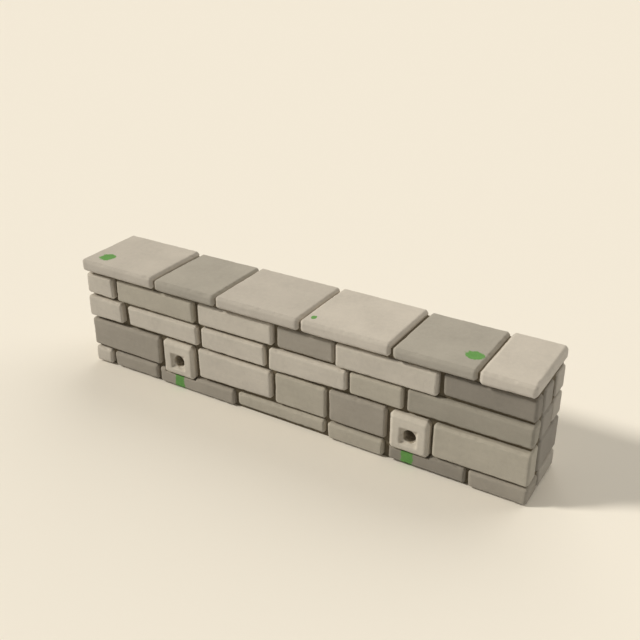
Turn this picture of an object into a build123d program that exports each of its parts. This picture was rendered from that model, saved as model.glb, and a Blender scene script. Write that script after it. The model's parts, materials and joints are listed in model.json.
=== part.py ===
from build123d import *
from dataclasses import dataclass
import os

# Coursed stone retaining wall, from ground level up, in millimetres.
# X runs along the wall, -Y is the face that is seen, +Y the side that holds the earth, +Z is up.
# The origin is on the ground, under the middle of the wall's overall box.

# Overall sizes
wall_length = 3010.0
wall_thickness = 445.0

# How far the mortar lies back from the stones on each side
front_joint_recess = 30.0
back_joint_recess = 14.0
end_joint_recess = 14.0

# Beds, from the ground up: each course is a height of stone on a bed of mortar
first_bed = 6.0
bed_joint = 18.0
coping_bed = 22.0
course_heights = [106.0, 202.0, 140.0, 142.0]

# Width of the worn arrises, taken off each side of an edge
face_arris = 12.0
end_arris = 10.0
backing_arris = 8.0
weep_arris = 20.0
coping_arris = 16.0

# How deep the stones reach into the wall
face_stone_depth = 105.0
backing_depth = 140.0
end_stone_length = 190.0
cross_joint = 25.0

# Coping stones, laid across the whole wall
coping_thickness = 78.0
coping_front_overhang = 36.0
coping_back_overhang = 15.0
most_extra_overhang = 6.0
coping_joint_recess = 24.0

# Weep stones: through stones let into the course below, with a splayed mouth and a round bore
weep_stone_width = 240.0
weep_stone_proud = 15.0
weep_let_in = 34.0
weep_seat_joint = 4.0
weep_bore_radius = 40.0
weep_bore_drop = 15.0
weep_throat_margin = 3.0
weep_splay = 12.0
weep_mouth_depth = 18.0
weep_course = 2  # counted from the ground

# Places that follow from the sizes above
most_front_overhang = coping_front_overhang + most_extra_overhang
overall_depth = most_front_overhang + wall_thickness + coping_back_overhang
front_y = most_front_overhang - overall_depth / 2
back_y = front_y + wall_thickness
left_x = -wall_length / 2
right_x = wall_length / 2


@dataclass
class FaceStone:
    """A stone of a course. The courses are listed from left to right along the face."""

    length: float
    joint: float = 0.0  # upright joint on its right
    proud: float = 0.0  # how far it stands out of the wall's face
    bed_lift: float = 0.0  # how far its underside lies above its course
    bed_slope: float = 0.0  # how much further the right end of its underside is lifted
    top_drop: float = 0.0  # how far its top lies below its course
    is_weep: bool = False


@dataclass
class CopingStone:
    """A slab of the coping."""

    length: float
    joint: float = 0.0  # upright joint on its right
    extra_thickness: float = 0.0
    extra_overhang: float = 0.0


@dataclass
class EndBond:
    """How a course turns the corner at each end of the wall."""

    corner_depth: float  # how far the corner stone runs back from the face
    back_joint: float = None  # joint behind the end stone, or None where it runs on to the back


def weep_stone(joint):
    return FaceStone(weep_stone_width, joint, weep_stone_proud, is_weep=True)


face_courses = [
    [
        FaceStone(142, 24, proud=4),
        FaceStone(365, 23, proud=-2),
        FaceStone(586, 28),
        FaceStone(619, 21, proud=-6, bed_lift=18),
        FaceStone(362, 33, proud=2),
        FaceStone(460, 20, proud=-3, bed_lift=5),
        FaceStone(327, proud=3),
    ],
    [
        FaceStone(567, 36, top_drop=6),
        weep_stone(joint=35),
        FaceStone(539, 26, proud=3, bed_lift=2, bed_slope=12),
        FaceStone(349, 21, proud=-4),
        FaceStone(369, 26, proud=-2),
        weep_stone(joint=20),
        FaceStone(542, proud=8, bed_lift=-6),
    ],
    [
        FaceStone(281, 47, proud=14),
        FaceStone(554, 31, proud=4, top_drop=4),
        FaceStone(464, 31, proud=2),
        FaceStone(519, 16, proud=5, bed_slope=10),
        FaceStone(334, 26, proud=-3),
        FaceStone(707, bed_lift=6, top_drop=-4),
    ],
    [
        FaceStone(220, 33, proud=8),
        FaceStone(609, 31, proud=6, bed_lift=-6),
        FaceStone(544, 26, proud=2),
        FaceStone(379, 16, proud=-4),
        FaceStone(619, 28, proud=6, bed_lift=-4),
        FaceStone(505, proud=-2, bed_lift=10),
    ],
]

coping_stones = [
    CopingStone(580, 16, extra_thickness=4),
    CopingStone(452, 14, extra_thickness=-4),
    CopingStone(570, 14, extra_thickness=2),
    CopingStone(559, 15, extra_thickness=5),
    CopingStone(472, 15, extra_thickness=-5),
    CopingStone(303, extra_thickness=3, extra_overhang=most_extra_overhang),
]

end_bonds = [EndBond(160), EndBond(115), EndBond(100, back_joint=15), EndBond(90, back_joint=50)]

# Backing stones to a course, and how far their joints are shifted to break the bond
backing_counts = [6, 6, 5, 6]
backing_shifts = [0.0, 70.0, -90.0, 60.0]


def course_levels():
    """Lowest and highest level of the stones of each course."""
    levels = []
    bottom = first_bed
    for height in course_heights:
        levels.append((bottom, bottom + height))
        bottom += height + bed_joint
    return levels


levels = course_levels()
coping_bottom = levels[-1][1] + coping_bed


def laid_places(stones):
    """Left and right end of each stone of a row as long as the wall.

    Weep stones keep their width, and the others share what is left in proportion to their length.
    """
    kept = sum(stone.joint for stone in stones)
    kept += sum(stone.length for stone in stones if is_fixed(stone))
    plain = sum(stone.length for stone in stones if not is_fixed(stone))
    share = (wall_length - kept) / plain
    places = []
    left = left_x
    for stone in stones:
        length = stone.length if is_fixed(stone) else stone.length * share
        places.append((left, left + length))
        left += length + stone.joint
    return places


def is_fixed(stone):
    return isinstance(stone, FaceStone) and stone.is_weep


def block_between(low, high):
    """A square block between two opposite corners."""
    size = [b - a for a, b in zip(low, high)]
    middle = [(a + b) / 2 for a, b in zip(low, high)]
    return Pos(*middle) * Box(*size)


def cut_by(block, others):
    """The block without the room that the others take up."""
    room = block.bounding_box()
    for other in others:
        if room.overlaps(other.bounding_box()):
            block = block - other
    return block


def arrises(block, buried=None):
    """The edges of a block, without those round the side that is built in."""
    if buried is None:
        return block.edges()
    tail = block.faces().sort_by(Axis((0, 0, 0), buried))[-1].edges()
    return [edge for edge in block.edges() if edge not in tail]


def face_stone(stone, left, right, level, depth, is_corner):
    """A plain stone of the face. A corner stone is squared all round, and others have a rough tail."""
    bottom = level[0] + stone.bed_lift
    top = level[1] - stone.top_drop
    outline = Polygon(
        (left, bottom), (right, bottom + stone.bed_slope), (right, top), (left, top), align=None
    )
    block = extrude(Plane.XZ.offset(stone.proud - front_y) * outline, amount=-(depth + stone.proud))
    return chamfer(arrises(block, None if is_corner else (0, 1, 0)), face_arris)


def weep_block(left, right, level):
    """The outer form of a weep stone, from the face to the back of the wall."""
    low = (left, front_y - weep_stone_proud, level[0] - weep_let_in)
    high = (right, back_y, level[1])
    block = block_between(low, high)
    return chamfer(arrises(block, (0, 1, 0)), weep_arris)


def weep_seat(block):
    """The room that a weep stone takes out of the stones below it, with its thin bed."""
    room = block.bounding_box()
    joint = Vector(weep_seat_joint, weep_seat_joint, weep_seat_joint)
    return block_between(room.min - joint, room.max + joint)


def weep_waterway(left, right, level):
    """The hollow of a weep stone: a splayed square mouth, and a bore from its throat to the back."""
    face_y = front_y - weep_stone_proud
    middle = Pos((left + right) / 2, (level[0] - weep_let_in + level[1]) / 2 - weep_bore_drop)
    throat_width = 2 * (weep_bore_radius + weep_throat_margin)
    mouth_width = throat_width + 2 * weep_splay
    face = Plane.XZ.offset(-face_y) * middle
    throat = Plane.XZ.offset(-face_y - weep_mouth_depth) * middle
    outer = face * Rectangle(mouth_width, mouth_width)
    inner = throat * Rectangle(throat_width, throat_width)
    mouth = loft([outer, inner])
    bore = extrude(throat * Circle(weep_bore_radius), amount=face_y + weep_mouth_depth - back_y)
    return mouth + bore


def face_stones():
    """Every stone of the face by name, and the outer form of each weep stone."""
    stones = {}
    weep_blocks = []
    for course, (row, level, bond) in enumerate(zip(face_courses, levels, end_bonds), start=1):
        weep_names = iter(["weep_stone_left", "weep_stone_right"])
        number = 0
        for stone, (left, right) in zip(row, laid_places(row)):
            if stone.is_weep:
                block = weep_block(left, right, level)
                weep_blocks.append(block)
                stones[next(weep_names)] = block - weep_waterway(left, right, level)
                continue
            number += 1
            is_corner = stone is row[0] or stone is row[-1]
            depth = bond.corner_depth if is_corner else face_stone_depth
            solid = face_stone(stone, left, right, level, depth, is_corner)
            stones[f"course_{course}_stone_{number}"] = solid
    return stones, weep_blocks


def coping():
    """The coping stones by name. They cover the wall from front to back."""
    stones = {}
    places = laid_places(coping_stones)
    for number, (stone, (left, right)) in enumerate(zip(coping_stones, places), start=1):
        near_y = front_y - coping_front_overhang - stone.extra_overhang
        top = coping_bottom + coping_thickness + stone.extra_thickness
        slab = block_between((left, near_y, coping_bottom), (right, back_y + coping_back_overhang, top))
        stones[f"coping_stone_{number}"] = chamfer(slab.edges(), coping_arris)
    return stones


def coping_mortar(stones):
    """The mortar between the coping stones, kept back from their top and from both long sides."""
    near_y = front_y - coping_front_overhang + coping_joint_recess
    far_y = back_y + coping_back_overhang - coping_joint_recess
    top = coping_bottom + coping_thickness - coping_joint_recess
    places = laid_places(coping_stones)
    fillings = []
    for (_, joint_left), (joint_right, _) in zip(places, places[1:]):
        low = (joint_left - coping_arris, near_y, coping_bottom)
        high = (joint_right + coping_arris, far_y, top)
        fillings.append(cut_by(block_between(low, high), stones))
    return fillings


def end_stones(outer_x, inward):
    """The stones of one end of the wall, behind the corner stones.

    outer_x is the end's face, and inward is 1 or -1, the way from it into the wall.
    """
    inner_x = outer_x + inward * end_stone_length
    stones = []
    for level, bond in zip(levels, end_bonds):
        near_y = front_y + bond.corner_depth + cross_joint
        reaches_back = bond.back_joint is None
        far_y = back_y if reaches_back else back_y - backing_depth - bond.back_joint
        low = (min(outer_x, inner_x), near_y, level[0])
        high = (max(outer_x, inner_x), far_y, level[1])
        block = block_between(low, high)
        stones.append(chamfer(arrises(block, (inward, 0, 0)), end_arris))
    return stones


def backing_runs(course, weep_places):
    """The stretches of a course on the earth side that backing stones fill."""
    start, end = left_x, right_x
    if end_bonds[course - 1].back_joint is None:
        start += end_stone_length + cross_joint
        end -= end_stone_length + cross_joint
    runs = []
    if course == weep_course:
        for left, right in weep_places:
            runs.append((start, left - cross_joint))
            start = right + cross_joint
    runs.append((start, end))
    return runs


def backing_stones(course, weep_places):
    """The stones of one course on the earth side."""
    runs = backing_runs(course, weep_places)
    covered = sum(right - left for left, right in runs)
    bottom, top = levels[course - 1]
    shift = backing_shifts[course - 1]
    stones = []
    for left, right in runs:
        count = max(1, round(backing_counts[course - 1] * (right - left) / covered))
        step = (right - left + cross_joint) / count
        inner_ends = [left + number * step + shift for number in range(1, count)]
        starts = [left] + inner_ends
        ends = [place - cross_joint for place in inner_ends] + [right]
        for stone_left, stone_right in zip(starts, ends):
            block = block_between((stone_left, back_y - backing_depth, bottom), (stone_right, back_y, top))
            stones.append(chamfer(arrises(block, (0, -1, 0)), backing_arris))
    return stones


def mortar_beds(stones):
    """The mortar and hearting of each course and the bed below it, cut to seat the stones."""
    beds = []
    bottom = 0.0
    for course, level in enumerate(levels):
        is_last = course == len(levels) - 1
        top = coping_bottom if is_last else level[1]
        low = (left_x + end_joint_recess, front_y + front_joint_recess, bottom)
        high = (right_x - end_joint_recess, back_y - back_joint_recess, top)
        beds.append(cut_by(block_between(low, high), stones))
        bottom = top
    return beds


def build_wall():
    """Every piece of the wall by name."""
    pieces, weep_blocks = face_stones()
    weep_places = [(block.bounding_box().min.X, block.bounding_box().max.X) for block in weep_blocks]
    for course in range(1, len(levels) + 1):
        pieces[f"course_{course}_backing"] = Compound(children=backing_stones(course, weep_places))
    pieces["left_end_stones"] = Compound(children=end_stones(left_x, 1))
    pieces["right_end_stones"] = Compound(children=end_stones(right_x, -1))

    seats = [weep_seat(block) for block in weep_blocks]
    for name in [name for name in pieces if name.startswith(f"course_{weep_course - 1}_")]:
        pieces[name] = cut_by(pieces[name], seats)

    stones = [solid for name, piece in pieces.items() if "weep" not in name for solid in piece.solids()]
    for course, bed in enumerate(mortar_beds(stones + weep_blocks), start=1):
        parts = bed.solids().sort_by(Axis.X)
        sides = ("left", "middle", "right") if len(parts) > 1 else ("",)
        for part, side in zip(parts, sides):
            pieces[f"course_{course}_mortar_{side}".rstrip("_")] = part
    slabs = coping()
    pieces.update(slabs)
    pieces["coping_mortar"] = Compound(children=coping_mortar(slabs.values()))
    return pieces


os.makedirs("parts", exist_ok=True)
for name, piece in build_wall().items():
    export_step(piece, f"parts/{name}.step")
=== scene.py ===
import bpy
import json
import numpy as np
from itertools import product
from math import pi, radians, sin
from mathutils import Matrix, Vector, noise


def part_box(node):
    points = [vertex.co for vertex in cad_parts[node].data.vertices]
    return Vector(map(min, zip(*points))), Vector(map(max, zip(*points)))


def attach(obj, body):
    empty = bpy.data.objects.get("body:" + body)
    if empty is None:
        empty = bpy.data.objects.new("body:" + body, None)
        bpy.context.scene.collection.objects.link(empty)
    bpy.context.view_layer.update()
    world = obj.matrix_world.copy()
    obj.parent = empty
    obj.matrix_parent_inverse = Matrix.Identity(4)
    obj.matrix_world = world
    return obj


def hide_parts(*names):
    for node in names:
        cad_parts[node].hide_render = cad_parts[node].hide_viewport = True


# Coursed stone retaining wall: worn stones, rough mortar, a plain floor and soft light.
# Lengths are in metres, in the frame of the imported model, and x runs along the wall as its face is seen.
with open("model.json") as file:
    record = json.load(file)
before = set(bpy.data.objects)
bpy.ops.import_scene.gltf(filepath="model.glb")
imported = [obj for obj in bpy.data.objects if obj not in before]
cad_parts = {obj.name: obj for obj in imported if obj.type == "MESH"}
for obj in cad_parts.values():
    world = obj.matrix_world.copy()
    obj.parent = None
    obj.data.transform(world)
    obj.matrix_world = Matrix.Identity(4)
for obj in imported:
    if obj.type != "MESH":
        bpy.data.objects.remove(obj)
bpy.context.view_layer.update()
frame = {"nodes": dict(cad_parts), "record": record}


def srgb(red, green, blue):
    """A colour written as it looks on screen, from 0 to 255, as the linear colour that shaders take."""
    values = [channel / 255 for channel in (red, green, blue)]
    linear = [v / 12.92 if v <= 0.04045 else ((v + 0.055) / 1.055) ** 2.4 for v in values]
    return (*linear, 1.0)


def shade(colour, factor):
    """The colour made lighter or darker."""
    return (*(min(1.0, channel * factor) for channel in colour[:3]), 1.0)


# The colour of the stones of each material slot
tones = {
    "stone_light": srgb(195, 184, 165),
    "stone_middle": srgb(175, 165, 145),
    "stone_dark": srgb(157, 147, 130),
    "weep_stone": srgb(199, 188, 168),
    "coping_pale": srgb(193, 182, 164),
    "coping_grey": srgb(167, 158, 141),
}
# Stones that are darker or paler than the rest of their slot. The end stones are all darker than their slot,
# which paints part of the shade on the wall's right end, and the left end takes the same; their differences
# from each other are their own tones. The end stones' are given from the ground up,
# # and stones that the grid joins take one shade together.
end_tones_and_painted_shade = [0.78, 0.56, 0.52, 0.84]
own_shades = {
    "coping_stone_1": [0.94],
    "coping_stone_3": [0.94],
    "coping_stone_4": [1.04],
    "coping_stone_6": [1.04],
    "course_1_stone_6": [0.80],
    "course_3_stone_6": [0.75],
    "course_4_stone_6": [0.74],
    "left_end_stones": end_tones_and_painted_shade,
    "right_end_stones": end_tones_and_painted_shade,
}
# The shades of the backing stones, and how many of them are drawn for a course, to be taken in turn
backing_shades = [0.56, 0.68, 0.80, 0.94]
backing_draws = 8
mortar_tone = srgb(104, 93, 73)
green_stain_tone = srgb(98, 146, 72)
# The damp stain round each weep stone's bore, which also paints the shade inside the bore
damp_and_bore_shade_tone = srgb(160, 147, 124)
floor_tone = srgb(242, 232, 213)
# The floor's colour for the light that bounces off it, a grey that doesn't tint the wall
floor_bounce_tone = srgb(228, 228, 228)

# Size of the grid on which each kind of piece is modelled
face_grid = 0.006
weep_grid = 0.005
end_grid = 0.008
backing_grid = 0.012

# The vertex attribute that carries how dark or pale each stone is
shade_name = "own_shade"

# How far the corners of a stone are out of square, along x, y and z
face_slack = (0.004, 0.002, 0.003)
coping_slack = (0.0015, 0.003, 0.0015)

# How far the surface of a stone swells and how deep its arrises are worn
swell = 0.0012
roughness = 0.0005
chip_depth = 0.006

# How many swings to a metre the swelling, the roughness and the chips have
swell_scale = 9.0
roughness_scale = 45.0
chip_scale = 28.0


class Shader:
    """A node material, with short ways to add and join its nodes."""

    # The places of a mix node's sockets for colours
    mix_factor = 0
    mix_first = 6
    mix_second = 7
    mix_result = 2

    def __init__(self, name):
        self.material = bpy.data.materials.new(name)
        self.material.use_nodes = True
        self.tree = self.material.node_tree
        self.surface = self.tree.nodes["Principled BSDF"]
        self.place = self.add("ShaderNodeTexCoord").outputs["Object"]

    def add(self, kind, inputs=None, **settings):
        """A new node with those settings, and with values or links in its inputs."""
        node = self.tree.nodes.new(kind)
        for name, value in settings.items():
            setattr(node, name, value)
        for name, value in (inputs or {}).items():
            self.plug(value, node.inputs[name])
        return node

    def plug(self, value, socket):
        """Links a socket to another, or sets it to a value."""
        if isinstance(value, bpy.types.NodeSocket):
            self.tree.links.new(value, socket)
        else:
            socket.default_value = value

    def noise(self, scale, detail=3.0, stretch=(1.0, 1.0, 1.0), shift=0.0):
        """Noise from 0 to 1, with that many swings to a metre."""
        mapping = self.add(
            "ShaderNodeMapping", {"Vector": self.place, "Location": (shift, shift, shift), "Scale": stretch}
        )
        texture = self.add(
            "ShaderNodeTexNoise", {"Vector": mapping.outputs["Vector"], "Scale": scale, "Detail": detail}
        )
        return texture.outputs["Fac"]

    def span(self, value, low, high, to_low=0.0, to_high=1.0):
        """value carried from one span to another, and held at its ends."""
        inputs = {"Value": value, "From Min": low, "From Max": high, "To Min": to_low, "To Max": to_high}
        return self.add("ShaderNodeMapRange", inputs).outputs["Result"]

    def math(self, operation, first, second):
        """The result of a sum or product of two values."""
        return self.add("ShaderNodeMath", {0: first, 1: second}, operation=operation).outputs[0]

    def mix(self, factor, first, second, blend="MIX"):
        """One colour blended over another."""
        node = self.add("ShaderNodeMix", data_type="RGBA", blend_type=blend)
        self.plug(factor, node.inputs[self.mix_factor])
        self.plug(first, node.inputs[self.mix_first])
        self.plug(second, node.inputs[self.mix_second])
        return node.outputs[self.mix_result]

    def bump(self, height, strength, distance):
        """Makes the surface look uneven, by a map of heights."""
        node = self.add(
            "ShaderNodeBump", {"Height": height, "Strength": strength, "Distance": distance}
        )
        self.plug(node.outputs["Normal"], self.surface.inputs["Normal"])


def patch_mask(shader, centre, half_sizes, shift):
    """1 inside a ragged patch and 0 outside it. A huge half size leaves that direction out.

    At the half sizes the distance is 1, and the noise adds about half the raggedness to it.
    """
    edge_scale = 45.0
    raggedness = 0.9
    inner_edge = 1.35
    outer_edge = 1.5
    inside = shader.add(
        "ShaderNodeMapping",
        {"Vector": shader.place, "Location": centre, "Scale": half_sizes},
        vector_type="TEXTURE",
    )
    distance = shader.add("ShaderNodeVectorMath", {0: inside.outputs["Vector"]}, operation="LENGTH")
    ragged = shader.math("MULTIPLY", shader.noise(edge_scale, shift=shift), raggedness)
    reach = shader.math("ADD", distance.outputs["Value"], ragged)
    return shader.span(reach, inner_edge, outer_edge, 1.0, 0.0)


def stone_material(name, tone, shift, patches=()):
    """Sandstone: clouds of tone, faint beds, sandy grain, pale worn arrises and pits.

    patches holds the colour, centre and half sizes of each stain, and of the painted shade inside the weep
    stones' bores.
    """
    shader = Shader(name)
    clouds = shader.noise(scale=5.0, detail=4.0, shift=shift)
    beds = shader.noise(scale=9.0, detail=3.0, stretch=(0.5, 0.5, 5.0), shift=shift)
    blotches = shader.noise(scale=38.0, detail=4.0, shift=shift)
    grain = shader.noise(scale=420.0, detail=2.0, shift=shift)
    colour = shader.mix(shader.span(clouds, 0.3, 0.7), shade(tone, 0.92), shade(tone, 1.07))
    colour = shader.mix(shader.span(beds, 0.35, 0.7, 0.0, 0.35), colour, shade(tone, 0.86))
    colour = shader.mix(shader.span(blotches, 0.35, 0.75, 0.0, 0.45), colour, shade(tone, 1.12))
    colour = shader.mix(shader.span(grain, 0.5, 0.75, 0.0, 0.5), colour, shade(tone, 0.78))
    pointiness = shader.add("ShaderNodeNewGeometry").outputs["Pointiness"]
    colour = shader.mix(shader.span(pointiness, 0.51, 0.58, 0.0, 0.5), colour, shade(tone, 1.25))
    own_shade = shader.add("ShaderNodeAttribute", attribute_name=shade_name).outputs["Fac"]
    colour = shader.mix(1.0, colour, own_shade, "MULTIPLY")
    # Stains, and the painted shade inside the weep stones' bores, laid over the stone's colour
    for stain_and_shade_tone, centre, half_sizes in patches:
        mask = patch_mask(shader, centre, half_sizes, shift)
        stain_and_shade_colour = shader.mix(shader.span(grain, 0.3, 0.7), shade(stain_and_shade_tone, 0.75), shade(stain_and_shade_tone, 1.2))
        colour = shader.mix(mask, colour, stain_and_shade_colour)
    shader.plug(colour, shader.surface.inputs["Base Color"])
    shader.plug(shader.span(blotches, 0.3, 0.7, 0.82, 0.95), shader.surface.inputs["Roughness"])
    shader.plug(0.3, shader.surface.inputs["Specular IOR Level"])
    pits = shader.span(shader.noise(scale=130.0, detail=3.0, shift=shift), 0.27, 0.40)
    height = shader.math("ADD", shader.math("MULTIPLY", grain, 0.25), shader.math("MULTIPLY", pits, 0.5))
    height = shader.math("ADD", height, blotches)
    shader.bump(height, strength=0.5, distance=0.003)
    return shader.material


def mortar_material():
    """Rough lime mortar with coarse grit, darker where it is damp."""
    shader = Shader("mortar")
    damp = shader.noise(scale=6.0, detail=4.0)
    grit = shader.noise(scale=220.0, detail=3.0)
    lumps = shader.noise(scale=60.0, detail=4.0)
    colour = shader.mix(shader.span(damp, 0.3, 0.7), shade(mortar_tone, 0.8), shade(mortar_tone, 1.15))
    colour = shader.mix(shader.span(grit, 0.55, 0.7, 0.0, 0.6), colour, shade(mortar_tone, 1.7))
    shader.plug(colour, shader.surface.inputs["Base Color"])
    shader.plug(0.95, shader.surface.inputs["Roughness"])
    shader.plug(0.2, shader.surface.inputs["Specular IOR Level"])
    height = shader.math("ADD", shader.math("MULTIPLY", grit, 0.4), lumps)
    shader.bump(height, strength=0.8, distance=0.006)
    return shader.material


def fine_copy(node, grid):
    """A copy of a CAD node's mesh on an even grid.

    It joins some stones of one node that are only about two steps of the grid apart.
    """
    piece = bpy.data.objects.new(f"{node}_worn", frame["nodes"][node].data.copy())
    bpy.context.scene.collection.objects.link(piece)
    remesh = piece.modifiers.new("Remesh", "REMESH")
    remesh.mode = "VOXEL"
    remesh.voxel_size = grid
    evaluated = piece.evaluated_get(bpy.context.evaluated_depsgraph_get())
    mesh = bpy.data.meshes.new_from_object(evaluated)
    piece.modifiers.clear()
    piece.data = mesh
    mesh.shade_smooth()
    return piece


def rows(items, name):
    """A property of a mesh's vertices or of their normals, one row of x, y and z each."""
    values = np.empty(len(items) * 3)
    items.foreach_get(name, values)
    return values.reshape(-1, 3)


def put_vertices(mesh, points):
    """Moves a mesh's vertices to those places."""
    mesh.vertices.foreach_set("co", points.ravel())
    mesh.update()


def skew(piece, slack, number):
    """Moves the eight corners of a stone a little, each its own way, and the rest between them."""
    points = rows(piece.data.vertices, "co")
    low, high = points.min(axis=0), points.max(axis=0)
    share = (points - low) / (high - low)
    corners = list(product((0, 1), repeat=3))
    moves = np.random.default_rng(number).uniform(-1.0, 1.0, (len(corners), 3)) * slack
    for corner, move in zip(corners, moves):
        weight = np.where(corner, share, 1.0 - share).prod(axis=1)
        points += weight[:, None] * move
    put_vertices(piece.data, points)


def weather(piece, shift):
    """Swells and roughens the surface of a stone, and chips its arrises.

    arris is 1 where the surface turns from one face to the next, and 0 on a flat that is square to an axis.
    """
    fractal_increment = 0.8
    lacunarity = 2.0
    octaves = 3
    arris_gain = 5.0
    least_bite = 0.1
    points = rows(piece.data.vertices, "co")
    normals = rows(piece.data.vertex_normals, "vector")
    offset = Vector((shift, shift, shift))
    places = [Vector(point) + offset for point in points]
    waves = np.array([noise.noise(place * swell_scale) for place in places])
    ripples = np.array(
        [
            noise.fractal(place * roughness_scale, fractal_increment, lacunarity, octaves)
            for place in places
        ]
    )
    bites = np.array([noise.noise(place * chip_scale) for place in places])
    arris = np.clip((1.0 - np.abs(normals).max(axis=1)) * arris_gain, 0.0, 1.0)
    chips = arris * np.clip(bites - least_bite, 0.0, 1.0)
    push = swell * waves + roughness * ripples - chip_depth * chips
    points += normals * push[:, None]
    put_vertices(piece.data, points)


def stains_and_bore_shade():
    """The stains, and the damp patch with painted shade inside each weep stone's bore, as (colour, centre,
    half sizes), of the nodes that carry them.
    """
    far = 10.0
    streak_half_width = 0.037
    streak_shift = -0.005
    bore_height = 0.199
    damp_and_bore_shade_half_sizes = (0.09, 0.222, 0.09)
    patches = {}
    for weep, below in (("weep_stone_left", "course_1_stone_3"), ("weep_stone_right", "course_1_stone_6")):
        low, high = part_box(weep)
        middle = (low.x + high.x) / 2
        # A damp stain round the bore, which also paints the shade inside the bore
        patches[weep] = [(damp_and_bore_shade_tone, (middle, (low.y + high.y) / 2, bore_height), damp_and_bore_shade_half_sizes)]
        streak = (middle + streak_shift, 0.0, 0.0)
        patches[below] = [(green_stain_tone, streak, (streak_half_width, far, far))]
    on_coping = {
        "coping_stone_1": ((-1.374, -0.131), (0.050, 0.052)),
        "coping_stone_4": ((0.196, -0.176), (0.016, 0.022)),
        "coping_stone_5": ((1.116, -0.100), (0.054, 0.045)),
    }
    for node, ((x, y), (half_x, half_y)) in on_coping.items():
        patches[node] = [(green_stain_tone, (x, y, 0.0), (half_x, half_y, far))]
    return patches


def solid_numbers(mesh):
    """Which of the mesh's separate solids each vertex belongs to, as the number of its first vertex."""
    edges = np.empty(len(mesh.edges) * 2, dtype=int)
    mesh.edges.foreach_get("vertices", edges)
    edges = edges.reshape(-1, 2)
    first = np.arange(len(mesh.vertices))
    while True:
        lowest = first[edges].min(axis=1)
        joined = first.copy()
        np.minimum.at(joined, edges[:, 0], lowest)
        np.minimum.at(joined, edges[:, 1], lowest)
        joined = joined[joined]
        if (joined == first).all():
            return first
        first = joined


def shade_solids(piece, shades):
    """Gives each solid of a piece the next of the shades, from the ground up and then from the left.

    Solids are on one level where their first vertices' heights round to the same 0.1 m. Stones that the grid
    has joined count as one solid.
    """
    mesh = piece.data
    first = solid_numbers(mesh)
    places = {}
    for number in np.unique(first):
        place = mesh.vertices[int(number)].co
        level = round(place.z, 1)
        places[number] = (level, place.x)
    shade_of_vertex = np.empty(len(first))
    for turn, number in enumerate(sorted(places, key=places.get)):
        shade_of_vertex[first == number] = shades[turn % len(shades)]
    mesh.attributes.new(shade_name, "FLOAT", "POINT").data.foreach_set("value", shade_of_vertex)


def shades_of(node, number):
    """How dark or pale the solids of a node are."""
    if "backing" in node:
        return list(np.random.default_rng(number).choice(backing_shades, backing_draws))
    return own_shades.get(node, [1.0])


def grid_of(node, slot):
    """The size of the grid on which a node's worn stone is modelled."""
    if slot == "weep_stone":
        return weep_grid
    if "backing" in node:
        return backing_grid
    if "end_stones" in node:
        return end_grid
    return face_grid


def slack_of(node, slot, patches):
    """How far a stone's corners are out of square, or None for one that stays square.

    Weep stones, the stained stones that they sit in, and nodes of several stones stay square.
    """
    if slot.startswith("coping"):
        return coping_slack
    if grid_of(node, slot) == face_grid and node not in patches:
        return face_slack
    return None


def stone_pieces():
    """Each stone node, replaced by a worn stone on a fine grid."""
    noise_step = 3.7
    patches = stains_and_bore_shade()
    subparts = frame["record"]["subparts"]
    for number, subpart in enumerate(subparts):
        node, slot = subpart["node"], subpart["material_slot"]
        if slot == "mortar":
            continue
        shift = noise_step * number
        piece = fine_copy(node, grid_of(node, slot))
        slack = slack_of(node, slot, patches)
        if slack:
            skew(piece, slack, number)
        weather(piece, shift)
        piece.data.materials.clear()
        material = stone_material(f"{node}_stone", tones[slot], shift, patches.get(node, ()))
        piece.data.materials.append(material)
        shade_solids(piece, shades_of(node, number))
        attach(piece, "root")
        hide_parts(node)


def mortar_pieces():
    """The mortar keeps its own form and gets its material."""
    material = mortar_material()
    for node, piece in frame["nodes"].items():
        if "mortar" in node:
            piece.data.materials.clear()
            piece.data.materials.append(material)


def seen_ray(tree):
    """1 for a ray that shows the background in the picture, and 0 for one that only carries light."""
    path = tree.nodes.new("ShaderNodeLightPath")
    seen = path.outputs["Is Camera Ray"]
    for kind in ("Is Glossy Ray", "Is Transmission Ray"):
        either = tree.nodes.new("ShaderNodeMath")
        either.operation = "MAXIMUM"
        tree.links.new(seen, either.inputs[0])
        tree.links.new(path.outputs[kind], either.inputs[1])
        seen = either.outputs[0]
    return seen


def floor():
    """A wide plain floor, at the foot of the wall."""
    half = 60.0
    corners = [(-half, -half, 0), (half, -half, 0), (half, half, 0), (-half, half, 0)]
    mesh = bpy.data.meshes.new("floor")
    mesh.from_pydata(corners, [], [(0, 1, 2, 3)])
    piece = bpy.data.objects.new("floor", mesh)
    bpy.context.scene.collection.objects.link(piece)
    shader = Shader("floor")
    seen = seen_ray(shader.tree)
    shader.plug(shader.mix(seen, floor_bounce_tone, floor_tone), shader.surface.inputs["Base Color"])
    shader.plug(1.0, shader.surface.inputs["Roughness"])
    shader.plug(0.0, shader.surface.inputs["Specular IOR Level"])
    mesh.materials.append(shader.material)


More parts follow.
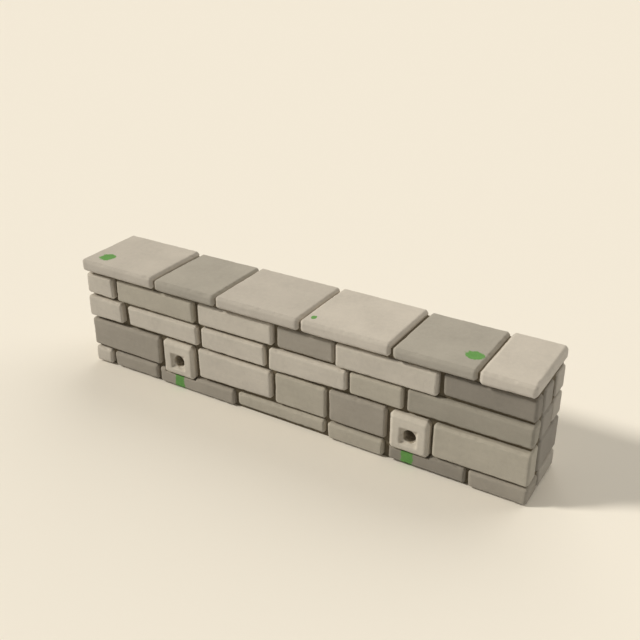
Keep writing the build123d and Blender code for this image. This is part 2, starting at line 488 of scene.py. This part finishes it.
def sun(name, share, height, heading, softness):
    """A far lamp that gives that share of the light on level ground.

    heading is the way that its light travels over the ground, in degrees from +X towards +Y.
    """
    data = bpy.data.lights.new(name, "SUN")
    data.energy = share * pi / sin(radians(height))
    data.angle = radians(softness)
    lamp = bpy.data.objects.new(name, data)
    lamp.rotation_euler = (radians(90.0 - height), 0.0, radians(heading - 90.0))
    bpy.context.scene.collection.objects.link(lamp)


def sky(share):
    """An even white light from all round, which shows as a pale backdrop."""
    world = bpy.data.worlds.new("sky")
    bpy.context.scene.world = world
    world.use_nodes = True
    tree = world.node_tree
    light = tree.nodes["Background"]
    light.inputs["Color"].default_value = (1.0, 1.0, 1.0, 1.0)
    light.inputs["Strength"].default_value = share
    backdrop = tree.nodes.new("ShaderNodeBackground")
    backdrop.inputs["Color"].default_value = floor_tone
    mixed = tree.nodes.new("ShaderNodeMixShader")
    tree.links.new(seen_ray(tree), mixed.inputs[0])
    tree.links.new(light.outputs[0], mixed.inputs[1])
    tree.links.new(backdrop.outputs[0], mixed.inputs[2])
    tree.links.new(mixed.outputs[0], tree.nodes["World Output"].inputs["Surface"])


def lights():
    """A key light from the front left, a very soft one from behind and an even sky."""
    key_share = 0.45
    back_share = 0.27
    sky_share = 0.28
    sun("key_light", key_share, height=36.0, heading=31.0, softness=10.0)
    sun("back_light", back_share, height=26.0, heading=262.0, softness=90.0)
    sky(sky_share)


def camera():
    """The viewpoint of the photograph, above the right end of the face."""
    lens_mm = 50.0
    sensor_mm = 36.0
    place = (2.500, -3.911, 2.976)
    tilt = radians(62.97)
    turn = radians(31.23)
    data = bpy.data.cameras.new("camera")
    data.lens = lens_mm
    data.sensor_width = sensor_mm
    viewpoint = bpy.data.objects.new("camera", data)
    viewpoint.location = place
    viewpoint.rotation_euler = (tilt, 0.0, turn)
    bpy.context.scene.collection.objects.link(viewpoint)
    bpy.context.scene.camera = viewpoint


stone_pieces()
mortar_pieces()
floor()
lights()
camera()
bpy.context.scene.view_settings.view_transform = "Standard"
